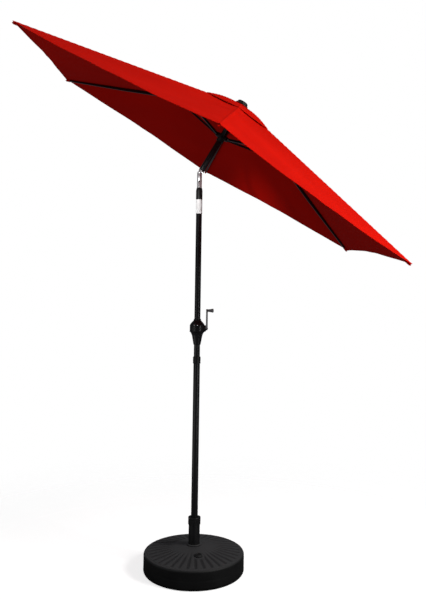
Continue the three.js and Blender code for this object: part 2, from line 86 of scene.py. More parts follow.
HUB_PIVOT = (0.027, 0.398)  # radius and height of the ribs' pivots
RUNNER_PIVOT = (0.027, 0.222)
TUBE_RADIUS = 0.015
CORD_SIDE = radians(15)  # side of the head on which the lift cord runs
RIB_END = 1.140
STRUT_AT = 0.370  # strut pivot, along the rib

HEAD = Matrix.Translation(PIN) @ Matrix.Rotation(TILT, 4, "Y")


def rib_turn(k):
    return FIRST_RIB + 2 * pi / RIBS * k


def smoothstep(a, b, x):
    t = min(max((x - a) / (b - a), 0.0), 1.0)
    return t * t * (3 - 2 * t)


def added(name, data):
    """A new object in the scene."""
    obj = bpy.data.objects.new(name, data)
    bpy.context.scene.collection.objects.link(obj)
    return obj


# ---- camera, light and floor
def add_camera():
    place = Vector((0.6948, -3.1653, 1.2259))
    heading = radians(100.56)  # from +X, anticlockwise
    pitch, roll = radians(9.16), radians(0.58)
    level_share = cos(pitch)
    forward = Vector((cos(heading) * level_share, sin(heading) * level_share, sin(pitch)))
    level = Vector((sin(heading), -cos(heading), 0))
    upward = level.cross(forward)
    right = level * cos(roll) + upward * sin(roll)
    up = right.cross(forward)
    data = bpy.data.cameras.new("camera")
    data.sensor_width = 36
    data.lens = 38.51
    data.shift_x, data.shift_y = -0.0105, -0.1638
    camera = added("camera", data)
    turn = Matrix((right, up, -forward)).transposed()
    camera.matrix_world = Matrix.Translation(place) @ turn.to_4x4()
    bpy.context.scene.camera = camera


def place_light(name, data, place, aim):
    light = added(name, data)
    light.location = place
    light.rotation_euler = (Vector(aim) - Vector(place)).to_track_quat("-Z", "Y").to_euler()


def add_area(name, place, aim, size, watts, colour=(1, 1, 1)):
    data = bpy.data.lights.new(name, "AREA")
    data.shape = "RECTANGLE"
    data.size, data.size_y = size
    data.energy = watts
    data.color = colour
    place_light(name, data, place, aim)


def add_accent(place, aim):
    """A narrow spot on the label and the chrome knuckles."""
    data = bpy.data.lights.new("accent", "SPOT")
    data.energy = 290
    data.spot_size = radians(6)
    data.spot_blend = 0.5
    data.shadow_soft_size = 0.12
    place_light("accent", data, place, aim)


def wire(tree, *links):
    for source, target in links:
        tree.links.new(source, target)


def add_world():
    """White where the camera sees it, and a dim, cool fill for the object."""
    world = bpy.data.worlds.new("studio")
    bpy.context.scene.world = world
    world.use_nodes = True
    tree = world.node_tree
    tree.nodes.clear()
    out = tree.nodes.new("ShaderNodeOutputWorld")
    seen, lit = tree.nodes.new("ShaderNodeBackground"), tree.nodes.new("ShaderNodeBackground")
    seen.inputs["Color"].default_value = (1, 1, 1, 1)
    lit.inputs["Color"].default_value = (0.9, 0.93, 1.0, 1)
    lit.inputs["Strength"].default_value = 0.12
    path, mix = tree.nodes.new("ShaderNodeLightPath"), tree.nodes.new("ShaderNodeMixShader")
    wire(tree, (path.outputs["Is Camera Ray"], mix.inputs[0]), (lit.outputs[0], mix.inputs[1]),
         (seen.outputs[0], mix.inputs[2]), (mix.outputs[0], out.inputs[0]))


def add_studio():
    add_area("key", (3.2, -1.1, 2.75), (0.7, -0.35, 1.8), (1.1, 1.1), 88, (1.0, 0.98, 0.95))
    add_area("top", (-0.6, -1.6, 4.9), (0, 0, 1.9), (2.4, 2.4), 22)
    add_area("low_left", (-2.1, -1.5, 0.35), (-0.6, 0.2, 2.3), (1.5, 1.5), 5.5)
    add_area("strip_right", (2.4, -1.7, 1.0), (0, 0, 0.9), (0.25, 1.9), 9)
    add_area("strip_left", (-1.6, -3.0, 1.2), (0, 0, 1.2), (0.3, 2.2), 6)
    add_accent((-0.5, -3.0, 1.45), (0, 0, 1.745))
    add_world()
    bpy.context.scene.view_settings.view_transform = "Standard"


def add_floor():
    """A pale floor with a soft shadow, which fades into the background a few metres out."""
    mesh = bpy.data.meshes.new("floor")
    half = 14.0
    corners = [(-half, -half, 0), (half, -half, 0), (half, half, 0), (-half, half, 0)]
    mesh.from_pydata(corners, [], [(0, 1, 2, 3)])
    floor = added("floor", mesh)
    mat = bpy.data.materials.new("pale_floor")
    mat.use_nodes = True
    tree = mat.node_tree
    surface = tree.nodes["Principled BSDF"]
    surface.inputs["Base Color"].default_value = (0.80, 0.80, 0.80, 1)
    surface.inputs["Roughness"].default_value = 0.9
    surface.inputs["Emission Color"].default_value = (1, 1, 1, 1)
    surface.inputs["Emission Strength"].default_value = 0.74
    dim = tree.nodes.new("ShaderNodeBsdfDiffuse")
    dim.inputs["Color"].default_value = (0.16, 0.16, 0.16, 1)
    path, lit = tree.nodes.new("ShaderNodeLightPath"), tree.nodes.new("ShaderNodeMixShader")
    clear, mix = tree.nodes.new("ShaderNodeBsdfTransparent"), tree.nodes.new("ShaderNodeMixShader")
    where, length = tree.nodes.new("ShaderNodeNewGeometry"), tree.nodes.new("ShaderNodeVectorMath")
    fade = tree.nodes.new("ShaderNodeMapRange")
    length.operation = "LENGTH"
    fade.interpolation_type = "SMOOTHSTEP"
    fade.inputs["From Min"].default_value = 0.35
    fade.inputs["From Max"].default_value = 2.4
    wire(tree, (where.outputs["Position"], length.inputs[0]), (length.outputs["Value"], fade.inputs["Value"]),
         (path.outputs["Is Camera Ray"], lit.inputs[0]), (dim.outputs[0], lit.inputs[1]),
         (surface.outputs[0], lit.inputs[2]), (fade.outputs["Result"], mix.inputs[0]),
         (lit.outputs[0], mix.inputs[1]), (clear.outputs[0], mix.inputs[2]),
         (mix.outputs[0], tree.nodes["Material Output"].inputs[0]))
    mesh.materials.append(mat)


# ---- materials
class Paint:
    """A Principled material with a few node helpers."""

    def __init__(self, name, colour, roughness, metallic=0.0, **sockets):
        self.material = bpy.data.materials.new(name)
        self.material.use_nodes = True
        self.tree = self.material.node_tree
        self.shader = self.tree.nodes["Principled BSDF"]
        self.shader.inputs["Base Color"].default_value = (*colour, 1)
        self.shader.inputs["Roughness"].default_value = roughness
        self.shader.inputs["Metallic"].default_value = metallic
        for socket, value in sockets.items():
            self.shader.inputs[socket.replace("_", " ")].default_value = value
        self.where = self.tree.nodes.new("ShaderNodeTexCoord").outputs["Object"]

    def node(self, kind, **settings):
        made = self.tree.nodes.new("ShaderNode" + kind)
        for name, value in settings.items():
            setattr(made, name, value)
        return made

    def link(self, source, target):
        self.tree.links.new(source, target)

    def stretched(self, scale):
        mapping = self.node("Mapping")
        mapping.inputs["Scale"].default_value = scale
        self.link(self.where, mapping.inputs["Vector"])
        return mapping.outputs["Vector"]

    def noise(self, scale, detail=3.0, stretch=None, roughness=0.55):
        made = self.node("TexNoise")
        made.inputs["Scale"].default_value = scale
        made.inputs["Detail"].default_value = detail
        made.inputs["Roughness"].default_value = roughness
        self.link(self.stretched(stretch) if stretch else self.where, made.inputs["Vector"])
        return made.outputs["Fac"]

    def attribute(self, name, output="Fac"):
        return self.node("Attribute", attribute_name=name).outputs[output]

    def ramp(self, value, stops):
        made = self.node("ValToRGB")
        line = made.color_ramp.elements
        while len(line) < len(stops):
            line.new(0.5)
        for element, (place, colour) in zip(line, stops):
            element.position = place
            element.color = (*colour, 1) if hasattr(colour, "__len__") else (colour, colour, colour, 1)
        self.link(value, made.inputs["Fac"])
        return made.outputs["Color"]

    def scaled(self, value, low, high, source=(0.0, 1.0)):
        made = self.node("MapRange")
        made.inputs["From Min"].default_value, made.inputs["From Max"].default_value = source
        made.inputs["To Min"].default_value, made.inputs["To Max"].default_value = low, high
        self.link(value, made.inputs["Value"])
        return made.outputs["Result"]

    def maths(self, operation, a, b):
        made = self.node("Math", operation=operation)
        for socket, value in zip(made.inputs, (a, b)):
            if isinstance(value, (int, float)):
                socket.default_value = value
            else:
                self.link(value, socket)
        return made.outputs["Value"]

    def mixed(self, factor, a, b, blend="MIX"):
        made = self.node("Mix", data_type="RGBA", blend_type=blend)
        for socket, value in ((made.inputs[0], factor), (made.inputs[6], a), (made.inputs[7], b)):
            if isinstance(value, (int, float)):
                socket.default_value = value
            elif isinstance(value, tuple):
                socket.default_value = (*value, 1)
            else:
                self.link(value, socket)
        return made.outputs[2]

    def colour(self, source):
        self.link(source, self.shader.inputs["Base Color"])

    def rough(self, source):
        self.link(source, self.shader.inputs["Roughness"])

    def bump(self, height, distance, strength=1.0):
        made = self.node("Bump")
        made.inputs["Distance"].default_value = distance
        made.inputs["Strength"].default_value = strength
        self.link(height, made.inputs["Height"])
        self.link(made.outputs["Normal"], self.shader.inputs["Normal"])


def cloth_paint():
    paint = Paint("red_polyester", (0.62, 0.008, 0.001), 0.85, Specular_IOR_Level=0.03)
    broad = paint.noise(2.2, 2)
    fine = paint.noise(60, 4)
    shade = paint.ramp(broad, [(0.3, (0.60, 0.0040, 0.0003)), (0.7, (0.70, 0.0055, 0.0005))])
    worn = paint.mixed(paint.scaled(fine, 0, 0.10), shade, (0.80, 0.014, 0.003))
    stitched = paint.mixed(paint.attribute("seam"), worn, (0.30, 0.004, 0.001))
    paint.colour(stitched)
    paint.rough(paint.scaled(fine, 0.72, 0.86))
    threads = []
    for axis in ("X", "Y"):
        wave = paint.node("TexWave", bands_direction=axis)
        wave.inputs["Scale"].default_value = 260
        wave.inputs["Distortion"].default_value = 0.4
        paint.link(paint.attribute("cut", "Vector"), wave.inputs["Vector"])
        threads.append(wave.outputs["Fac"])
    weave = paint.maths("MAXIMUM", *threads)
    slub = paint.maths("ADD", weave, paint.scaled(fine, 0, 1.2))
    paint.bump(slub, 0.0002, 0.5)
    return paint.material


def enamel_paint(name, colour=(0.004, 0.004, 0.0045)):
    paint = Paint(name, colour, 0.3, 0.0, Coat_Weight=0.12, Coat_Roughness=0.14, Specular_IOR_Level=0.32)
    mottle = paint.noise(35, 4)
    streak = paint.noise(9, 3, (1, 1, 0.06))
    light = tuple(3.2 * c for c in colour)
    paint.colour(paint.mixed(paint.scaled(mottle, 0.0, 0.35), colour, light))
    paint.rough(paint.scaled(streak, 0.24, 0.40))
    paint.bump(paint.noise(900, 2), 0.00012, 0.35)
    return paint.material


def moulded_paint(name, colour, roughness, grain=1400, depth=0.00015, patch=20):
    paint = Paint(name, colour, roughness, 0.0, Specular_IOR_Level=0.3)
    cloud = paint.noise(patch, 4)
    light = tuple(1.9 * c + 0.004 for c in colour)
    paint.colour(paint.mixed(paint.scaled(cloud, 0, 0.6, (0.35, 0.7)), colour, light))
    paint.rough(paint.scaled(cloud, roughness - 0.06, roughness + 0.1))
    paint.bump(paint.noise(grain, 3), depth, 0.5)
    return paint.material


def metal_paint(name, colour, roughness, stretch=None, metallic=1.0):
    paint = Paint(name, colour, roughness, metallic)
    brush = paint.noise(420, 3, stretch)
    stain = paint.noise(25, 3)
    dark = tuple(0.72 * c for c in colour)
    paint.colour(paint.mixed(paint.scaled(stain, 0, 0.8, (0.4, 0.75)), colour, dark))
    paint.rough(paint.scaled(brush, max(roughness - 0.06, 0.04), roughness + 0.12))
    paint.bump(brush, 0.00004, 0.3)
    return paint.material


def base_paint():
    paint = Paint("filled_base_plastic", (0.035, 0.036, 0.038), 0.5, 0.0, Specular_IOR_Level=0.22)
    cloud = paint.noise(7, 5)
    speck = paint.noise(160, 3)
    # Faces that point up get a lighter, speckled colour than the near-black sides.
    flat = paint.node("SeparateXYZ")
    paint.link(paint.node("NewGeometry").outputs["Normal"], flat.inputs[0])
    upward = paint.scaled(flat.outputs["Z"], 0, 1, (0.2, 0.95))
    cloudy = paint.scaled(cloud, 0, 1, (0.35, 0.7))
    body = paint.mixed(cloudy, (0.0014, 0.0014, 0.0016), (0.0060, 0.0060, 0.0064))
    upper_face_colour = paint.mixed(paint.scaled(speck, 0.35, 0.75), (0.036, 0.037, 0.038), (0.066, 0.067, 0.070))
    # Painted shade: the petal grooves are darkened by their depth.
    painted_groove_shade = paint.scaled(paint.attribute("groove"), 0, 0.55)
    top_colour_with_painted_groove_shade = paint.mixed(painted_groove_shade, upper_face_colour, (0.010, 0.010, 0.011))
    paint.colour(paint.mixed(upward, body, top_colour_with_painted_groove_shade))
    paint.rough(paint.scaled(cloud, 0.46, 0.66))
    paint.bump(paint.maths("ADD", paint.noise(700, 3), paint.scaled(cloud, 0, 2)), 0.0003, 0.5)
    return paint.material


def cord_paint():
    paint = Paint("cord_braid", (0.02, 0.02, 0.022), 0.85)
    wave = paint.node("TexWave", bands_direction="DIAGONAL")
    wave.inputs["Scale"].default_value = 500
    paint.link(paint.where, wave.inputs["Vector"])
    paint.colour(paint.ramp(wave.outputs["Fac"], [(0.2, 0.010), (0.8, 0.045)]))
    paint.bump(wave.outputs["Fac"], 0.0003, 0.6)
    return paint.material


def sand_paint():
    paint = Paint("filling_sand", (0.5, 0.4, 0.24), 0.95)
    grains = paint.noise(900, 4)
    stops = [(0.3, (0.34, 0.25, 0.13)), (0.6, (0.56, 0.44, 0.27)), (0.8, (0.74, 0.64, 0.46))]
    paint.colour(paint.ramp(grains, stops))
    paint.bump(grains, 0.0008, 0.8)
    return paint.material


def label_paint():
    paint = Paint("blank_label", (0.86, 0.86, 0.84), 0.5)
    fibre = paint.noise(120, 5)
    # Painted shade of creases: streaks of slightly darker and lighter white across the label.
    painted_crease_shade = paint.noise(18, 3, (1, 1, 0.25))
    paint.colour(paint.ramp(painted_crease_shade, [(0.35, (0.84, 0.84, 0.84)), (0.6, (0.97, 0.97, 0.96))]))
    paint.bump(fibre, 0.0002, 0.4)
    return paint.material


paints = {  # by material slot, and one more for the ties
    "cloth": cloth_paint(),
    "pole_paint": enamel_paint("mast_enamel"),
    "rib_paint": enamel_paint("rib_enamel", (0.003, 0.003, 0.0033)),
    "base_plastic": base_paint(),
    "plug_plastic": moulded_paint("plug_plastic", (0.007, 0.007, 0.0075), 0.5),
    "neck_plastic": moulded_paint("neck_plastic", (0.0035, 0.0035, 0.004), 0.42),
    "fitting_plastic": moulded_paint("fitting_plastic", (0.005, 0.005, 0.005), 0.4),
    "hub_plastic": moulded_paint("hub_plastic", (0.0035, 0.0035, 0.0035), 0.42),
    "housing_plastic": moulded_paint("housing_plastic", (0.009, 0.009, 0.010), 0.24, 1900, 0.00006),
    "knuckle_chrome": metal_paint("knuckle_chrome", (0.88, 0.89, 0.90), 0.24, None, 0.6),
    "screw_chrome": metal_paint("screw_chrome", (0.75, 0.75, 0.76), 0.18),
    "bare_steel": metal_paint("bare_steel", (0.45, 0.45, 0.46), 0.3),
    "crank_metal": metal_paint("crank_metal", (0.34, 0.34, 0.35), 0.34, (1, 1, 0.05)),
    "knob_plastic": moulded_paint("knob_plastic", (0.16, 0.16, 0.165), 0.35),
    "label": label_paint(),
    "cord_fibre": cord_paint(),
    "sand": sand_paint(),
    "webbing": moulded_paint("tie_webbing", (0.010, 0.004, 0.004), 0.75, 600, 0.0003),
}
node_slots = {part["node"]: part["material_slot"] for part in frame["record"]["subparts"]}


def paint_frame():
    for node, obj in frame["nodes"].items():
        obj.data.materials.clear()
        obj.data.materials.append(paints[node_slots[node]])


# ---- mesh helpers
node_bodies = {node: body for body, nodes in frame["record"]["behaviour"]["bodies"].items() for node in nodes}


def piece(name, verts, faces, place=None):
    mesh = bpy.data.meshes.new(name)
    mesh.from_pydata([tuple(v) for v in verts], [], [tuple(f) for f in faces])
    if place is not None:
        mesh.transform(place)
    mesh.polygons.foreach_set("use_smooth", [True] * len(mesh.polygons))
    mesh.update()
    obj = added(name, mesh)
    return obj


def painted(obj, slot, paint=None):
    """Gives a piece the paint of the named material slot, unless another paint is named."""
    obj.data.materials.clear()
    obj.data.materials.append(paints[paint or slot])


def belongs(obj, body, slot, *nodes, paint=None):
    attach(obj, body)
    painted(obj, slot, paint)
    if nodes:
        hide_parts(*nodes)
    return obj


def stands_for(obj, *nodes):
    """Rides on its first CAD node's body, takes the paint of that node's slot, and hides the nodes it replaces."""
    return belongs(obj, node_bodies[nodes[0]], node_slots[nodes[0]], *nodes)


def apply_modifiers(obj):
    graph = bpy.context.evaluated_depsgraph_get()
    final = obj.evaluated_get(graph)
    mesh = bpy.data.meshes.new_from_object(final, preserve_all_data_layers=True, depsgraph=graph)
    obj.modifiers.clear()
    obj.data = mesh


def crisp(obj, degrees=38):
    obj.data.polygons.foreach_set("use_smooth", [True] * len(obj.data.polygons))
    obj.data.set_sharp_from_angle(angle=radians(degrees))


def bevelled(obj, width):
    bevel = obj.modifiers.new("bevel", "BEVEL")
    bevel.width = width
    bevel.segments = 2
    bevel.limit_method = "ANGLE"
    bevel.angle_limit = radians(32)
    apply_modifiers(obj)
    crisp(obj)


def refined(node, width):
    """A copy of a CAD node with softened edges and smooth rounds."""
    mesh = frame["nodes"][node].data.copy()
    obj = added(node + "_fine", mesh)
    work = bmesh.new()
    work.from_mesh(mesh)
    bmesh.ops.remove_doubles(work, verts=work.verts, dist=1e-6)
    bmesh.ops.dissolve_limit(work, angle_limit=radians(0.5), verts=work.verts, edges=work.edges)
    work.to_mesh(mesh)
    work.free()
    for layer in list(mesh.attributes):
        if layer.name == "custom_normal":
            mesh.attributes.remove(layer)
    bevelled(obj, width)
    return stands_for(obj, node)


def cut_or_join(obj, other, operation, solver="EXACT"):
    step = obj.modifiers.new("boolean", "BOOLEAN")
    step.operation = operation
    step.object = other
    step.solver = solver
    apply_modifiers(obj)
    bpy.data.objects.remove(other)
    return obj


def filleted(points, radius, steps=4, closed=False):
    """The corners of an outline rounded, with the ends left as they are."""
    points = [Vector(p) for p in points]
    out = [] if closed else [points[0]]
    corners = range(len(points)) if closed else range(1, len(points) - 1)
    for i in corners:
        before, corner, after = points[i - 1], points[i], points[(i + 1) % len(points)]
        back, ahead = before - corner, after - corner
        angle = back.angle(ahead, pi)
        if angle > radians(176):
            out.append(corner)
            continue
        reach = min(radius / math.tan(angle / 2), 0.45 * back.length, 0.45 * ahead.length)
        start, end = corner + back.normalized() * reach, corner + ahead.normalized() * reach
        for step in range(steps + 1):
            t = step / steps
            out.append(start * (1 - t) ** 2 + corner * 2 * t * (1 - t) + end * t ** 2)
    if not closed:
        out.append(points[-1])
    return out


def turned(name, outline, place=None, sides=72, shape=None, closed=False):
    """A solid of revolution about Z. shape(angle, radius, height) may move a point."""
    verts, faces, rings = [], [], []
    for radius, height in outline:
        if radius < 1e-6:
            rings.append([len(verts)])
            verts.append((0, 0, height))
            continue
        rings.append(range(len(verts), len(verts) + sides))
        for i in range(sides):
            angle = 2 * pi * i / sides
            r, h = shape(angle, radius, height) if shape else (radius, height)
            verts.append((r * cos(angle), r * sin(angle), h))
    pairs = list(zip(rings, rings[1:]))
    if closed:
        pairs.append((rings[-1], rings[0]))
    for low, high in pairs:
        for i in range(sides):
            j = (i + 1) % sides
            if len(low) > 1 and len(high) > 1:
                faces.append((low[i], low[j], high[j], high[i]))
            elif len(high) > 1:
                faces.append((low[0], high[j], high[i]))
            elif len(low) > 1:
                faces.append((low[i], low[j], high[0]))
    obj = piece(name, verts, faces, place)
    face_out(obj)
    crisp(obj, 50)
    return obj


def ring_node(node, outline, radius, steps=4, sides=72, place=None, shape=None):
    """A turned ring with rounded corners, which stands for a CAD node."""
    ring = turned(node + "_fine", filleted(outline, radius, steps, True), place, sides, shape, True)
    return stands_for(ring, node)


def face_out(obj):
    work = bmesh.new()
    work.from_mesh(obj.data)
    bmesh.ops.recalc_face_normals(work, faces=work.faces)
    work.to_mesh(obj.data)
    work.free()


def block(name, x, y, z, place=None):
    """A box, to cut with or to join on."""
    verts = [(a, b, c) for c in z for b in y for a in x]
    faces = [(0, 2, 3, 1), (4, 5, 7, 6), (0, 1, 5, 4), (2, 6, 7, 3), (0, 4, 6, 2), (1, 3, 7, 5)]
    box = piece(name, verts, faces, place)
    face_out(box)
    return box


def swept(name, points, section, place, level=(0, 1, 0), sizes=None):
    """A closed bar with the given section, a list of (sideways, upward), along a line of points."""
    points = [Vector(p) for p in points]
    verts, faces, n = [], [], len(section)
    for i, point in enumerate(points):
        ahead = (points[min(i + 1, len(points) - 1)] - points[max(i - 1, 0)]).normalized()
        side = Vector(level).cross(ahead).normalized()
        up = ahead.cross(side)
        size = sizes[i] if sizes else 1
        verts += [point + (side * a + up * b) * size for a, b in section]
    for i in range(len(points) - 1):
        for j in range(n):
            k = (j + 1) % n
            faces.append((i * n + j, i * n + k, (i + 1) * n + k, (i + 1) * n + j))
    faces.append(tuple(range(n)))
    faces.append(tuple(range((len(points) - 1) * n, len(points) * n)))
    obj = piece(name, verts, faces, place)
    face_out(obj)
    crisp(obj)
    return obj


def round_section(width, height, steps=12, power=2.0):
    """A round section, or with a higher power one between a round and a box."""
    def eased(value):
        return math.copysign(abs(value) ** (2 / power), value)

    angles = [2 * pi * i / steps for i in range(steps)]
    return [(width * eased(cos(a)), height * eased(sin(a))) for a in angles]


def double_skin(rows, columns):
    """Faces of a sheet made of two skins, each a grid of points, joined round their edges."""
    off = rows * columns
    faces = []
    for i in range(rows - 1):
        for j in range(columns - 1):
            a, d = i * columns + j, (i + 1) * columns + j
            b, c = a + 1, d + 1
            faces += [(a, d, c, b), (off + a, off + b, off + c, off + d)]
    last_row, last_column = (rows - 1) * columns, columns - 1
    border = [(j, j + 1) for j in range(columns - 1)]
    border += [(last_row + j + 1, last_row + j) for j in range(columns - 1)]
    border += [((i + 1) * columns, i * columns) for i in range(rows - 1)]
    border += [(i * columns + last_column, (i + 1) * columns + last_column) for i in range(rows - 1)]
    return faces + [(a, b, off + b, off + a) for a, b in border]


def spoke(k):
    """The head's axes turned so that +X runs along rib k."""
    return HEAD @ Matrix.Rotation(rib_turn(k), 4, "Z")


# ---- canopy
ROWS = 110
FINE_ROWS = [0.018, 0.0155, 0.0145, 0.0125, 0.006, 0.0015, 0.0]  # distances from the hem's edge
SIDE = [0, 0.0015, 0.003, 0.0048, 0.006, 0.009, 0.013, 0.019, 0.027, 0.037, 0.05, 0.066, 0.086, 0.11,
        0.14, 0.175, 0.215, 0.26, 0.31, 0.36, 0.41, 0.46, 0.51, 0.56]  # distances from the rib, at the hem
CLOTH = 0.0009  # thickness
HEM_LINE = 0.0125  # from the hem's edge to its stitching
SEAM_LINE = 0.0030  # from the rib to the seam's stitching
# At the panel past each rib: how far its hem curves in, and how far it hangs down.
HEM_BOW = [0.028, 0.026, 0.024, 0.013, 0.004, 0.002]
HEM_DROP = [0, 0, 0, 0, 0.012, 0.012]
# Shares of the cloth's width left when the canopy is closed: edges still meet, with a little overlap.
KITE_KEEP = 0.29
GORE_KEEP = 0.66


def panel_point(side, tau, reach, bow):
    """Flat panel beside a rib: tau is 0 at its middle and 1 at the rib, reach 0 at the vent, 1 at the hem."""
    outer = RADIUS * cos(HALF_PANEL) - bow * cos(PANEL_SLOPE) * (1 - tau * tau)
    inner = VENT_HOLE * cos(HALF_PANEL)
    along = inner + (outer - inner) * reach
    across = tau * sin(HALF_PANEL) * (VENT_HOLE + (RADIUS - VENT_HOLE) * reach)
    x = cos(HALF_PANEL) * along + sin(HALF_PANEL) * across
    y = sin(HALF_PANEL) * along - cos(HALF_PANEL) * across
    return Vector((x, side * y, APEX - math.tan(PANEL_SLOPE) * along))


def cloth_lift(k, point, tau, reach, from_hem, drop):
    """How far the cloth stands above the flat panel."""
    turned_point = Matrix.Rotation(rib_turn(k), 3, "Z") @ point
    sag = -0.010 * (1 - tau ** 2) * sin(pi * min(reach, 1) ** 0.85) ** 0.8 if 0 < reach < 1 else 0
    off_rib = abs(point.y)
    seam = 0.0011 * exp(-((off_rib / 0.0045) ** 2))
    pucker = 0.0008 * exp(-((off_rib - 0.007) / 0.022) ** 2) * sin(
        2 * pi * point.x / 0.031 + 2.5 * noise.noise(turned_point * 9))
    calm = min(1, 2.5 * (1 - tau)) * (0.25 + 0.75 * min(1, from_hem / 0.15))
    swell = 0.0042 * noise.noise(Vector((turned_point.x * 2.6, turned_point.y * 2.6, 3.7))) * calm
    ripple = 0.0020 * noise.noise(Vector((turned_point.x * 7, turned_point.y * 7, 11.0))) * calm
    flutter = 0.0018 * sin(3 * pi * tau) * (1 - tau) * exp(-from_hem / 0.09)
    corner = (Vector((RADIUS, 0)) - Vector((point.x, off_rib))).length
    fan = math.atan2(off_rib, max(RADIUS + 0.01 - point.x, 1e-4))
    pull = 0.0016 * exp(-corner / 0.28) * sin(11 * fan) * min(1, corner / 0.05)
    hang = -drop * (1 - tau ** 2) * exp(-from_hem / 0.14)
    return sag + seam + pucker + swell + ripple + flutter + pull + hang


def canopy_columns():
    """(side, tau) of each column of a rib's kite, from one panel's middle over the rib to the next's."""
    taus = [1 - s / (RADIUS * sin(HALF_PANEL)) for s in SIDE]
    taus[-1] = max(taus[-1], 0.02)
    return [(-1, t) for t in [0.0] + taus[:0:-1]] + [(1, t) for t in taus] + [(1, 0.0)]


def panel_beside(k, side):
    return k if side > 0 else k - 1


def reach_rows(tau, bow):
    length = (panel_point(1, tau, 1, bow) - panel_point(1, tau, 0, bow)).length
    fine = [1 - d / length for d in FINE_ROWS]
    coarse = [i / ROWS * fine[0] for i in range(ROWS)]
    return coarse + fine, length


def build_canopy():
    """The kites' middles as one ring of cloth, so that normals run on from each kite to the next."""
    columns = canopy_columns()
    rows, n = ROWS + len(FINE_ROWS), len(columns)
    grid = np.zeros((RIBS, rows, n, 3))
    marks = np.zeros((RIBS, rows, n))
    cut = np.zeros((RIBS, rows, n, 2))
    half = np.full((RIBS, rows, n), CLOTH / 2)
    for k in range(RIBS):
        turn = Matrix.Rotation(rib_turn(k), 3, "Z")
        for j, (side, tau) in enumerate(columns):
            bow = HEM_BOW[panel_beside(k, side)]
            drop = HEM_DROP[panel_beside(k, side)]
            reaches, length = reach_rows(tau, bow)
            for i, reach in enumerate(reaches):
                flat = panel_point(side, tau, reach, bow)
                from_hem = (1 - reach) * length
                cut[k, i, j] = (flat.x, flat.y)
                lift = Vector((0, 0, cloth_lift(k, flat, tau, reach, from_hem, drop)))
                grid[k, i, j] = turn @ (flat + lift)
                hem_line = exp(-((from_hem - HEM_LINE) / 0.0012) ** 2)
                seam_line = max(exp(-((abs(flat.y) - s) / 0.0011) ** 2) for s in (SEAM_LINE, 0.0))
                marks[k, i, j] = max(0.5 * hem_line, 0.25 * seam_line)
                half[k, i, j] += 0.0006 * (1 - smoothstep(0.0128, 0.0148, from_hem))
                if abs(flat.y) < 0.0052:
                    half[k, i, j] += 0.0004
            half[k, -1, j] *= 0.45
    ring = np.concatenate([grid[k, :, :n - 1] for k in range(RIBS)], axis=1)
    around = np.roll(ring, -1, axis=1) - np.roll(ring, 1, axis=1)
    normal = np.cross(around, np.gradient(ring, axis=0))
    normal /= np.linalg.norm(normal, axis=2, keepdims=True)
    if normal[rows // 2, :, 2].mean() < 0:
        normal = -normal
    for k in range(RIBS):
        index = [(k * (n - 1) + j) % ring.shape[1] for j in range(n)]
        build_kite(k, grid[k], normal[:, index], half[k], marks[k], cut[k])


def build_kite(k, grid, normal, half, marks, cut):
    """Rib k's cloth, from the middle of one panel to the middle of the next, with hems and seams."""
    rows, n = marks.shape
    turn, shift = np.array(HEAD)[:3, :3], np.array(HEAD)[:3, 3]
    skins = [(grid + side * normal * half[..., None]).reshape(-1, 3) for side in (1, -1)]
    kite = piece(f"canopy_cloth_{k + 1}", np.concatenate(skins) @ turn.T + shift, double_skin(rows, n))
    outward = normal.reshape(-1, 3) @ turn.T
    vertex_normals = np.concatenate([outward, -outward])
    surface_faces = 2 * (rows - 1) * (n - 1)
    loops = []
    for polygon in kite.data.polygons:
        for v in polygon.vertices:
            loops.append(tuple(vertex_normals[v] if polygon.index < surface_faces else polygon.normal))
    kite.data.normals_split_custom_set(loops)
    mark_cloth(kite, np.tile(marks.reshape(-1), 2), np.tile(cut.reshape(-1, 2), (2, 1)))
    gather(kite, k, KITE_KEEP, f"canopy_{k + 1}_left", f"canopy_{k + 1}_right")


def mark_cloth(obj, marks, flats):
    """Stores where the stitching is, and each point's place on the flat cut, for the weave."""
    seam = obj.data.attributes.new("seam", "FLOAT", "POINT")
    seam.data.foreach_set("value", np.array(marks, np.float32))
    cut = obj.data.attributes.new("cut", "FLOAT_VECTOR", "POINT")
    flat = np.zeros((len(flats), 3), np.float32)
    flat[:, :2] = flats
    cut.data.foreach_set("vector", flat.reshape(-1))


def gather(cloth, k, keep, *nodes):
    """Cloth that rides on rib k. Its argument keep is not used."""
    belongs(cloth, f"rib_{k + 1}", "cloth", *nodes)
    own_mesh(cloth)


# ---- vent
# The vent's ridge over a rib: radius, and fall below the cloth's point.
VENT_RIDGE = [(0.040, 0.0020), (0.048, 0.0042), (0.066, 0.0090), (0.093, 0.0172), (0.132, 0.0290),
              (0.170, 0.0412), (0.205, 0.0525)]
VENT_START, VENT_RADIUS = VENT_RIDGE[0][0], VENT_RIDGE[-1][0]
VENT_ROWS = 27
VENT_COLUMNS = 27
VENT_BILLOW = [0.010, 0.007, 0.007, 0.011, 0.003, 0.003]  # at the panel past each rib
RIDGE_SLACK = [0.0065, 0.002, 0, 0.004, 0.0065, 0]  # at each rib


def gore_point(k, reach, t):
    """On rib k's axes: reach is 0 at the finial, 1 at the hem; t is 0 at the rib, -1 and 1 mid-panel."""
    radius = VENT_START + (VENT_RADIUS - VENT_START) * reach
    angle, middle = t * HALF_PANEL, abs(t)
    across = sin(pi / 2 * middle)
    straight = radius * cos(HALF_PANEL) / cos(HALF_PANEL - abs(angle))
    r = straight - 0.006 * reach ** 3 * across
    billow = VENT_BILLOW[panel_beside(k, t)] * across ** 2 + RIDGE_SLACK[k] * (1 - across ** 2)
    billow *= sin(pi * reach)
    pleat = 0.0007 * sin(2 * pi * radius / 0.017) * exp(-(middle / 0.10) ** 2)
    ridge = 0.0009 * exp(-(radius * abs(angle) / 0.003) ** 2)
    w = APEX - float(np.interp(radius, *zip(*VENT_RIDGE))) + billow + pleat + ridge
    return Vector((r * cos(angle), r * sin(angle), w)), (radius, radius * angle)


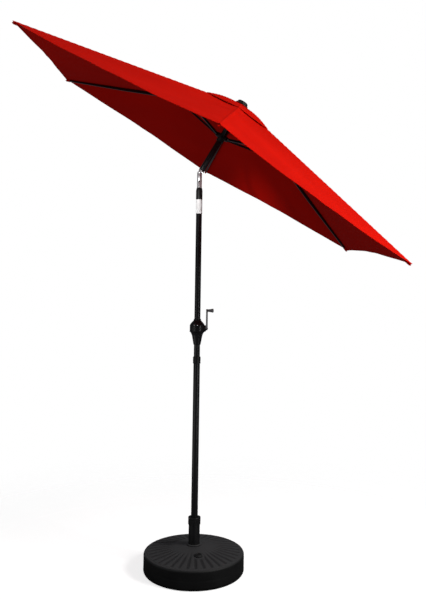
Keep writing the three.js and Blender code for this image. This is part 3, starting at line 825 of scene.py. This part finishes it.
def build_gore(k):
    """Rib k's part of the vent: a double skin, thicker and stitched at its hem."""
    middles, flats, thickness, marks = [], [], [], []
    for i in range(VENT_ROWS):
        for j in range(VENT_COLUMNS):
            point, flat = gore_point(k, i / (VENT_ROWS - 1), 2 * j / (VENT_COLUMNS - 1) - 1)
            middles.append(point)
            flats.append(flat)
            thickness.append(CLOTH / 2 + (0.0005 if i >= VENT_ROWS - 2 else 0))
            marks.append(0.5 if i == VENT_ROWS - 3 else 0)
    verts = [p + Vector((0, 0, side * t)) for side in (1, -1) for p, t in zip(middles, thickness)]
    gore = piece(f"vent_gore_{k + 1}", verts, double_skin(VENT_ROWS, VENT_COLUMNS), spoke(k))
    face_out(gore)
    crisp(gore, 60)
    mark_cloth(gore, marks * 2, flats * 2)
    gather(gore, k, GORE_KEEP, "vent_cap")


def round_cloth(name, outline):
    """A turned piece of cloth on the head's axis, cut from a disc of the given radius."""
    cloth = turned(name, outline, HEAD, closed=True)
    mark_cloth(cloth, [0] * len(cloth.data.vertices), [(v.co.x, v.co.y) for v in cloth.data.vertices])
    belongs(cloth, "tilt_head", "cloth", "vent_cap")


def build_vent():
    """Six gores over the open top, a sewn crown patch under the finial, and a lining round the hub."""
    for k in range(RIBS):
        build_gore(k)
    top = [(0.008, 0.0002), (0.030, 0.0001), (0.040, -0.0004), (0.0445, -0.0013)]
    crown = [(r, APEX + w) for r, w in top] + [(r, APEX + w - CLOTH) for r, w in reversed(top)]
    round_cloth("vent_crown", crown)
    # The lining keeps the hub covered when the gores draw away from the finial.
    fall = [(0.010, 0.0016), (0.034, 0.0024), (0.042, 0.0037), (0.0462, 0.0058), (0.0482, 0.0095),
            (0.0488, 0.0150), (0.0490, 0.0290)]
    lining = [(r, APEX - w) for r, w in fall]
    lining += [(r - CLOTH, APEX - w - CLOTH / 2) for r, w in reversed(fall[1:])]
    lining.append((fall[0][0], APEX - fall[0][1] - CLOTH))
    round_cloth("vent_lining", lining)


# ---- ribs, struts and canopy fittings
RIB_LENGTH = (RIB_END - HUB_PIVOT[0]) / cos(SLOPE)
TIES_AT = (0.52, 0.82)  # along the rib
EYE_AT = 0.014  # along the strut


def rib_point(distance, above=0.0):
    """On rib k's axes: a point along the rib from its pivot, and above its centre line."""
    radius = HUB_PIVOT[0] + distance * cos(SLOPE) + above * sin(SLOPE)
    return Vector((radius, 0, HUB_PIVOT[1] - distance * sin(SLOPE) + above * cos(SLOPE)))


def build_pocket(k):
    """The sewn pocket at the canopy's corner, closed over the rib's end."""
    section = round_section(0.0060, 0.0058, 20, 2.6)
    rows = [(-0.028, 1.02), (-0.0265, 1.12), (-0.020, 1.04), (-0.014, 1.0), (-0.006, 0.98), (0.0005, 0.92),
            (0.0040, 0.62), (0.0075, 0.18)]
    points = [rib_point(RIB_LENGTH + past, 0.0032) for past, _ in rows]
    pocket = swept(f"rib_pocket_{k + 1}", points, section, spoke(k), sizes=[size for _, size in rows])
    marks = [0.5 if i // len(section) == 1 else 0 for i in range(len(pocket.data.vertices))]
    mark_cloth(pocket, marks, [(v.co.x, v.co.y) for v in pocket.data.vertices])
    belongs(pocket, f"rib_{k + 1}", "cloth")


def build_rib_ties(k):
    """Webbing loops that tie the canopy to the rib."""
    for i, distance in enumerate(TIES_AT):
        taper = 1 - 0.3 * max(0, distance / RIB_LENGTH - 0.55)
        points = [rib_point(distance + d, 0.0010) for d in (-0.004, -0.0035, 0.0035, 0.004)]
        section = round_section(0.0058, 0.0092 * taper, 20, 4)
        tie = swept(f"rib_tie_{k + 1}_{i + 1}", points, section, spoke(k), sizes=[0.95, 1, 1, 0.95])
        belongs(tie, f"rib_{k + 1}", "cord_fibre", paint="webbing")


def build_rivet(name, k, spot, half, radius):
    """A rivet through the strut, with a waist of 4.2 mm between its two heads."""
    waist, head, edge = 0.0021, 0.0016, 0.0011
    lower = [(0, -half), (radius * 0.55, -half), (radius, edge - half), (radius, head - half),
             (waist, head - half)]
    profile = lower + [(r, -h) for r, h in reversed(lower)]
    place = spoke(k) @ Matrix.Translation(spot) @ Matrix.Rotation(pi / 2, 4, "X")
    belongs(turned(f"{name}_{k + 1}", profile, place, 20), f"strut_{k + 1}", "bare_steel")


def build_strut_trim(k):
    """The folded channel over the middle of the strut, and a rivet at each pivot."""
    pivot = rib_point(STRUT_AT)
    foot = Vector((RUNNER_PIVOT[0], 0, RUNNER_PIVOT[1]))
    ahead = (pivot - foot).normalized()
    build_rivet("fork_rivet", k, pivot, 0.0086, 0.0034)
    build_rivet("eye_rivet", k, foot + ahead * EYE_AT, 0.0052, 0.0026)
    outer = [(0.0056, -0.0066), (0.0056, 0.0052), (0.0044, 0.0064)]
    inner = [(0.0034, 0.0052), (0.0042, 0.0044), (0.0042, -0.0066)]
    rail = outer + [(-a, b) for a, b in reversed(outer)] + [(-a, b) for a, b in reversed(inner)] + inner
    ends = [foot + ahead * d for d in (0.012, (pivot - foot).length - 0.052)]
    belongs(swept(f"strut_channel_{k + 1}", ends, rail, spoke(k)), f"strut_{k + 1}", "rib_paint")


def build_ribs_and_struts():
    for k in range(RIBS):
        refined(f"rib_{k + 1}", 0.0012)
        refined(f"strut_{k + 1}", 0.0008)
        build_pocket(k)
        build_rib_ties(k)
        build_strut_trim(k)


# ---- head of the mast
def ring_section(inner, outer, low, high):
    return [(inner, low), (outer, low), (outer, high), (inner, high)]


def build_head():
    """The tube with its slot for the cord, the grooved finial, and the cast fittings."""
    outline = filleted(ring_section(0.0135, TUBE_RADIUS, 0.0203, 0.392), 0.0005, closed=True)
    tube = turned("upper_tube_fine", outline, HEAD, 64, closed=True)
    slot_side = HEAD @ Matrix.Rotation(CORD_SIDE, 4, "Z")
    slot = block("slot_cutter", (0.011, 0.018), (-0.003, 0.003), (0.335, 0.366), slot_side)
    cut_or_join(tube, slot, "DIFFERENCE")
    crisp(tube)
    stands_for(tube, "upper_tube")

    cap = [(0.0325, 0.0006), (0.0345, 0.0014), (0.0345, 0.0055), (0.0318, 0.0088), (0.0290, 0.0098),
           (0.0278, 0.0172), (0.0235, 0.0208), (0.010, 0.0218)]
    cap = filleted([(r, APEX + w) for r, w in cap], 0.0022, 5)
    dome = [Vector((0, APEX + 0.0006))] + cap + [Vector((0, APEX + 0.0220))]
    stands_for(turned("finial_dome", dome, HEAD, 120, fluted_dome), "finial")
    for node, width in (("top_hub", 0.0007), ("runner", 0.0009), ("upper_knuckle", 0.0006),
                        ("lower_knuckle", 0.0006), ("cord_pulley", 0.0003)):
        refined(node, width)


def fluted_dome(angle, radius, height):
    """Finger grooves round the finial's upper step."""
    band = smoothstep(0.0095, 0.0120, height - APEX) * (1 - smoothstep(0.0185, 0.0205, height - APEX))
    return radius - 0.0013 * band * (0.5 + 0.5 * cos(12 * angle)) ** 2, height


# ---- mast
BUTTON_Z = 1.850


def build_mast():
    ring_node("lower_pole", ring_section(0.0148, 0.016, 0.012, 0.958), 0.0006, sides=64)
    upper = [(0.0133, 0.850), (0.0145, 0.850), (0.0145, 0.9585), (0.015, 0.959), (0.015, 1.800),
             (0.0133, 1.800)]
    ring_node("upper_pole", upper, 0.0004, 2, 64)
    collar = [(0.0163, 0.9425), (0.0178, 0.9425), (0.0188, 0.945), (0.0188, 0.950), (0.0183, 0.951),
              (0.0183, 0.9545), (0.0188, 0.9555), (0.0188, 0.972), (0.0176, 0.9755), (0.0153, 0.9755),
              (0.0153, 0.9584), (0.0163, 0.9584)]
    ring_node("pole_collar", collar, 0.0009, 3)
    sleeve = [(0.0153, 1.758), (0.0164, 1.758), (0.0166, 1.762), (0.0166, 1.803), (0.0138, 1.8185),
              (0.0128, 1.819), (0.0128, 1.8003), (0.0153, 1.8003)]
    ring_node("tilt_sleeve", sleeve, 0.0010, 3)
    band = denser(filleted(ring_section(0.01525, 0.0158, 1.684, 1.7575), 0.0002, 2, True), 0.004)
    stands_for(turned("label_band_fine", band, None, 96, lapped_band, True), "label_band")
    build_button()


def build_button():
    """The push button and its spring."""
    button = [(0, -0.0167), (0.0022, -0.0165), (0.0036, -0.0157), (0.0042, -0.0143), (0.0042, -0.0066),
              (0.0055, -0.0066), (0.0055, -0.0052), (0, -0.0052)]
    lie = Matrix.Translation((0, 0, BUTTON_Z)) @ Matrix.Rotation(-pi / 2, 4, "X")
    stands_for(turned("tilt_button_fine", button, lie, 36), "tilt_button")
    spring = refined("button_spring", 0.00005)
    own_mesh(spring)


def denser(outline, longest):
    """The same closed outline with no side longer than the given length."""
    out = []
    for i, point in enumerate(outline):
        after = outline[(i + 1) % len(outline)]
        steps = max(1, math.ceil((after - point).length / longest))
        out += [point.lerp(after, step / steps) for step in range(steps)]
    return out


def lapped_band(angle, radius, height):
    """A wrapped label: its free edge laps over and lifts a little, and air leaves faint blisters."""
    if radius < 0.0154:
        return radius, height
    lap = 0.0004 * smoothstep(5.3, 5.45, angle) * (1 - smoothstep(6.0, 6.05, angle))
    blister = 0.00025 * max(0, noise.noise(Vector((4 * cos(angle), 4 * sin(angle), height * 90))))
    return radius + lap + blister, height


# ---- crank
CRANK_Z = 1.112
KNOB_X = 0.087
HOUSING_OVAL = Matrix.Diagonal((1, 0.95, 1, 1))
SCREW_SIDES = (-0.008, 0.008)


def screw_place(x):
    return Matrix.Translation((x, 0, CRANK_Z + 0.016)) @ Matrix.Rotation(-pi / 2, 4, "X")


def build_housing():
    """One shell with its boss, ledge and screw wells, split along its middle into a front and a back."""
    outline = [(0.0153, 1.033), (0.0178, 1.033), (0.0185, 1.039), (0.026, 1.078), (0.0305, 1.0885),
               (0.037, 1.0975), (0.0372, 1.127), (0.032, 1.1365), (0.0245, 1.1445), (0.0215, 1.1475),
               (0.0185, 1.151), (0.0178, 1.158), (0.0153, 1.158)]
    shell = turned("housing_whole", filleted(outline, 0.004, 5, True), HOUSING_OVAL, 96, closed=True)
    boss = [(0.0044, 0.018), (0.0162, 0.018), (0.0162, 0.034), (0.0150, 0.0425), (0.0125, 0.044),
            (0.0044, 0.044)]
    across = Matrix.Translation((0, 0, CRANK_Z)) @ Matrix.Rotation(pi / 2, 4, "Y")
    cut_or_join(shell, turned("boss", filleted(boss, 0.0018, 4, True), across, 48, closed=True), "UNION")
    ledge = filleted([(0.030, 1.0905), (0.0385, 1.0965), (0.0385, 1.0985), (0.030, 1.0985)], 0.0006, 3, True)
    cut_or_join(shell, turned("ledge", ledge, HOUSING_OVAL, 96, closed=True), "UNION")
    for x in SCREW_SIDES:
        well = turned("well", ring_section(0, 0.0037, -0.060, -0.0322), screw_place(x), 24)
        cut_or_join(shell, well, "DIFFERENCE")
    for node, y in (("housing_front", (-0.060, -0.00022)), ("housing_back", (0.00022, 0.060))):
        part = added(node + "_fine", shell.data.copy())
        cut_or_join(part, block("box", (-0.06, 0.06), y, (1.02, 1.17)), "INTERSECT")
        crisp(part, 34)
        stands_for(part, node)
    bpy.data.objects.remove(shell)


def build_screw(number, x):
    """A housing screw with a cross cut in its head."""
    head = [(0, -0.0352), (0.0014, -0.0351), (0.0026, -0.0345), (0.0032, -0.0336), (0.0032, -0.0323),
            (0.0016, -0.0323), (0.0016, -0.0125), (0, -0.0125)]
    place = screw_place(x)
    screw = turned(f"housing_screw_{number}_fine", head, place, 28)
    for turn in (0.4, 0.4 + pi / 2):
        slot_place = place @ Matrix.Rotation(turn, 4, "Z")
        slot = block("slot", (-0.0021, 0.0021), (-0.00035, 0.00035), (-0.036, -0.0342), slot_place)
        cut_or_join(screw, slot, "DIFFERENCE")
    crisp(screw, 30)
    stands_for(screw, f"housing_screw_{number}")


def build_crank():
    build_housing()
    for i, x in enumerate(SCREW_SIDES):
        build_screw(i + 1, x)
    refined("crank_arm", 0.0011)
    refined("crank_spool", 0.0006)
    knob = [(0.0033, 0.0515), (0.0054, 0.0515), (0.0064, 0.0530), (0.0066, 0.0580), (0.0076, 0.0660),
            (0.0092, 0.0740), (0.0096, 0.0772), (0.0090, 0.0800), (0.0060, 0.0812), (0.0033, 0.0812)]
    across = Matrix.Translation((0, 0, CRANK_Z + KNOB_X)) @ Matrix.Rotation(pi / 2, 4, "Y")
    ring_node("crank_knob", knob, 0.0012, 4, place=across, shape=grip)


def grip(angle, radius, height):
    """Fine ridges round the knob's outside."""
    if radius < 0.0064 or not 0.054 < height < 0.079:
        return radius, height
    return radius - 0.00035 * (0.5 + 0.5 * cos(18 * angle)), height


# ---- base
BASE_RADIUS = 0.235
BASE_TOP = 0.086  # at the rim
BASE_LIP = 0.010  # rounding of its upper edge
BASE_FOOT = 0.014  # and of its lower one
CROWN = (0.036, 0.114)  # radius and height of the cone's top, round the neck
NECK_WELL = 0.027  # radius of the well the neck stands in
WELL_FLOOR = 0.006
WALL = 0.003  # thickness of the blown shell
PETALS = 36
PETAL_RING = (0.080, 0.219)  # radii between which the top is fluted
PETAL_DEPTH = 0.0026
RIM_LINE = (0.2205, 0.0014, 0.0010)  # groove round the top: radius, half width and depth
MOULD_LINE = (0.043, 0.0010, 0.0009)  # groove round the side: height, half width and depth
SEAT = 0.106  # height of the boss round the fill hole
FILL = Vector((0.044, -0.103))
FILL_PLACE = Matrix.Translation((*FILL, 0))


def cone(radius):
    """Height of the base's plain top at a radius."""
    edge = BASE_RADIUS - BASE_LIP
    return BASE_TOP + (CROWN[1] - BASE_TOP) * min(1, max(0, (edge - radius) / (edge - CROWN[0])))


def groove_depth(position, line):
    middle, half_width, depth = line
    return depth * exp(-((position - middle) / half_width) ** 2)


def petal_depth(angle, radius):
    """How far the petals are pressed in, leaving the fill hole's surround plain."""
    along = (radius - PETAL_RING[0]) / (PETAL_RING[1] - PETAL_RING[0])
    if not 0 < along < 1:
        return 0
    from_fill = math.hypot(radius * cos(angle) - FILL.x, radius * sin(angle) - FILL.y)
    phase = (angle / (2 * pi) * PETALS) % 1 - 0.5
    width = 0.31 * sin(pi * min(1, 0.10 + 0.90 * along ** 0.8) / 1.25) ** 0.5
    edge = 1 - smoothstep(width - 0.17, width, abs(phase))
    ends = smoothstep(0, 0.35, along) * (1 - smoothstep(0.94, 1, along))
    return PETAL_DEPTH * edge * ends * smoothstep(0.020, 0.032, from_fill)


def base_surface(angle, radius, height):
    """Radial petals pressed into the conical top, and the slight unevenness of a blown shell."""
    if height > cone(radius) - 0.0005 and radius > 0.029:
        height -= petal_depth(angle, radius)
        height -= groove_depth(radius, RIM_LINE)
    elif radius > 0.2:
        around = Vector((3 * cos(angle), 3 * sin(angle), height * 14))
        radius += 0.0006 * noise.noise(around) + 0.0002 * noise.noise(around * 6)
        radius -= groove_depth(height, MOULD_LINE)
    return radius, height


def rounded(x, y, radius, start, end, steps=10):
    angles = [radians(start + (end - start) * i / steps) for i in range(steps + 1)]
    return [Vector((x + radius * cos(a), y + radius * sin(a))) for a in angles]


def shell_outside():
    """Outline from the middle of the underside, round the rim, up the cone and down the neck's well."""
    heights = np.arange(BASE_FOOT + 0.0015, BASE_TOP - BASE_LIP - 0.001, 0.0015)
    side = [Vector((BASE_RADIUS, h)) for h in heights]
    top = [Vector((r, cone(r))) for r in np.arange(BASE_RADIUS - BASE_LIP - 0.001, 0.029, -0.0016)]
    outside = [Vector((0, 0)), Vector((0.1, 0))]
    outside += rounded(BASE_RADIUS - BASE_FOOT, BASE_FOOT, BASE_FOOT, -90, 0) + side
    outside += rounded(BASE_RADIUS - BASE_LIP, BASE_TOP - BASE_LIP, BASE_LIP, 0, 90) + top
    outside += [Vector((NECK_WELL + 0.0006, CROWN[1] - 0.0002)), Vector((NECK_WELL, CROWN[1] - 0.0008))]
    return outside + [Vector((NECK_WELL, WELL_FLOOR)), Vector((0, WELL_FLOOR))]


def shell_inside():
    """Outline of the hollow between the shell and the neck's well."""
    beside_well = NECK_WELL + WALL
    inside = [Vector((beside_well, WALL))]
    inside += rounded(BASE_RADIUS - BASE_FOOT, BASE_FOOT, BASE_FOOT - WALL, -90, 0)
    inside += rounded(0.2265, 0.0745, 0.0055, 0, 90)
    return inside + [Vector((CROWN[0], CROWN[1] - 0.006)), Vector((beside_well, 0.108))]


def build_base_shell():
    """The blown shell with its well for the mast, hollow for the filling and fill hole."""
    shell = turned("base_cover", shell_outside(), None, 12 * PETALS, base_surface)
    cut_or_join(shell, turned("hollow", shell_inside(), None, 90, closed=True), "DIFFERENCE", "MANIFOLD")
    seat = [(0, SEAT - 0.010), (0.0188, SEAT - 0.010), (0.0188, SEAT - 0.0009), (0.0180, SEAT), (0, SEAT)]
    cut_or_join(shell, turned("boss", seat, FILL_PLACE), "UNION", "MANIFOLD")
    mouth = ring_section(0, 0.0134, 0.080, 0.120)
    cut_or_join(shell, turned("mouth", mouth, FILL_PLACE), "DIFFERENCE", "MANIFOLD")
    crisp(shell, 42)
    # Depth of the petal grooves, which the base's paint darkens as painted shade.
    depths = [cone(v.co.xy.length) - v.co.z if v.co.z > 0.080 else 0 for v in shell.data.vertices]
    groove = shell.data.attributes.new("groove", "FLOAT", "POINT")
    groove.data.foreach_set("value", np.clip(np.array(depths, np.float32) / PETAL_DEPTH, 0, 1))
    stands_for(shell, "base_shell")


def build_plug():
    """The fill plug, with a dished top and a bar to pull it by."""
    rise = [(0, -0.0118), (0.0118, -0.0118), (0.0129, -0.0102), (0.0129, 0.0003), (0.0162, 0.0003),
            (0.0165, 0.0008), (0.0165, 0.0020), (0.0150, 0.0039), (0.0130, 0.0039), (0.0112, 0.0014),
            (0, 0.0014)]
    plug = turned("fill_plug_fine", filleted([(r, SEAT + h) for r, h in rise], 0.0008, 3), FILL_PLACE)
    bar_place = FILL_PLACE @ Matrix.Rotation(0.35, 4, "Z")
    bar = block("bar", (-0.0118, 0.0118), (-0.0019, 0.0019), (SEAT + 0.0006, SEAT + 0.0037), bar_place)
    cut_or_join(plug, bar, "UNION")
    bevelled(plug, 0.0003)
    stands_for(plug, "fill_plug")


def build_neck():
    """The neck tube, the ring round its foot, and the cap that clamps the mast."""
    tube = [(0.0200, 0.0085), (0.0265, 0.0085), (0.0265, 0.2020), (0.0258, 0.2030), (0.0258, 0.2190),
            (0.0200, 0.2190)]
    ring_node("neck_tube", tube, 0.0010, 3, 96, shape=mould_line)
    rise = [(0.0269, 0.0003), (0.0345, 0.0003), (0.0343, 0.0030), (0.0305, 0.0056), (0.0290, 0.0060),
            (0.0269, 0.0060)]
    ring_node("neck_foot_ring", [(r, CROWN[1] + h) for r, h in rise], 0.0009, 4, 96)
    cap = [(0.0269, 0.2035), (0.0288, 0.2035), (0.02925, 0.2050), (0.02925, 0.2330), (0.0286, 0.2362),
           (0.0268, 0.2370), (0.0176, 0.2370), (0.0168, 0.2360), (0.0168, 0.2277), (0.0204, 0.2277),
           (0.0244, 0.2237), (0.0269, 0.2237)]
    outline = denser(filleted(cap, 0.0014, 4, True), 0.003)
    stands_for(turned("neck_cap_fine", outline, None, 240, cap_grips, True), "neck_cap")
    refined("neck_bush", 0.0005)


def mould_line(angle, radius, height):
    """The faint raised line where the mould's halves met."""
    line = abs(cos(angle)) > 0.9985
    return radius + (0.00025 if line and radius > 0.026 else 0), height


def cap_grips(angle, radius, height):
    """Upright finger ribs round the cap's outside."""
    if radius < 0.0288 or not 0.206 < height < 0.2300:
        return radius, height
    return radius - 0.0009 * (0.5 + 0.5 * cos(24 * angle)) ** 2, height


# ---- lift cord
CORD_HALF = 0.0015  # half its thickness
CORD_RISE = 0.007  # side of the mast's axis on which it comes up
GROOVE = 0.0101  # radius of the pulley at the cord's middle
WHEEL_Z = 0.374  # height of the pulley above the pin
CORD_OUT = TUBE_RADIUS + 0.002  # radius at which it comes down outside the tube
CORD_TOP = WHEEL_Z - 0.0395  # between these heights it follows the runner
CORD_FOOT = 0.2365


def smooth_line(points, rounds):
    """A line with its corners cut, its ends left where they are."""
    for _ in range(rounds):
        cut = [points[0]]
        for a, b in zip(points, points[1:]):
            cut += [a.lerp(b, 0.25), a.lerp(b, 0.75)]
        points = cut + [points[-1]]
    return points


def beside(x, w):
    """A point at the given height, in the upright plane through the head's axis that holds the cord."""
    return Vector((x * cos(CORD_SIDE), x * sin(CORD_SIDE), w))


def build_cord():
    """Up inside the head, over the pulley, out through the slot, and down outside the tube to the runner."""
    turns = [pi * i / 8 for i in range(9)]
    over = [beside(-GROOVE * cos(turn), WHEEL_Z + GROOVE * sin(turn)) for turn in turns]
    inner = [Vector((CORD_RISE, 0, w)) for w in (-0.0112, 0.025, 0.058)]
    inner += [beside(-GROOVE, w) for w in (0.150, 0.260, WHEEL_Z - 0.020)]
    inner += over + [beside(GROOVE + 0.0006, WHEEL_Z - 0.010)]
    inner += [beside(CORD_OUT, w) for w in (WHEEL_Z - 0.030, WHEEL_Z - 0.040)]
    section = round_section(CORD_HALF, CORD_HALF, 10)
    level = (-sin(CORD_SIDE), cos(CORD_SIDE), 0)
    held = swept("lift_cord_inner", smooth_line(inner, 2), section, HEAD, level)
    belongs(held, "tilt_head", "cord_fibre", "lift_cord_upper")
    steps = 24
    outer = [beside(CORD_OUT, CORD_TOP + (CORD_FOOT - CORD_TOP) * i / steps) for i in range(steps + 1)]
    moving = swept("lift_cord_outer", outer, section, HEAD, level)
    painted(moving, "cord_fibre")
    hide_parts("lift_cord_upper")
    top, foot = HEAD @ outer[0], HEAD @ outer[-1]
    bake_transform(moving, "tilt_head", "runner", tuple(top), tuple(foot))


# ---- assembly
add_camera()
add_studio()
add_floor()
paint_frame()
build_canopy()
build_vent()
build_ribs_and_struts()
build_head()
build_mast()
build_crank()
build_base_shell()
build_plug()
build_neck()
build_cord()
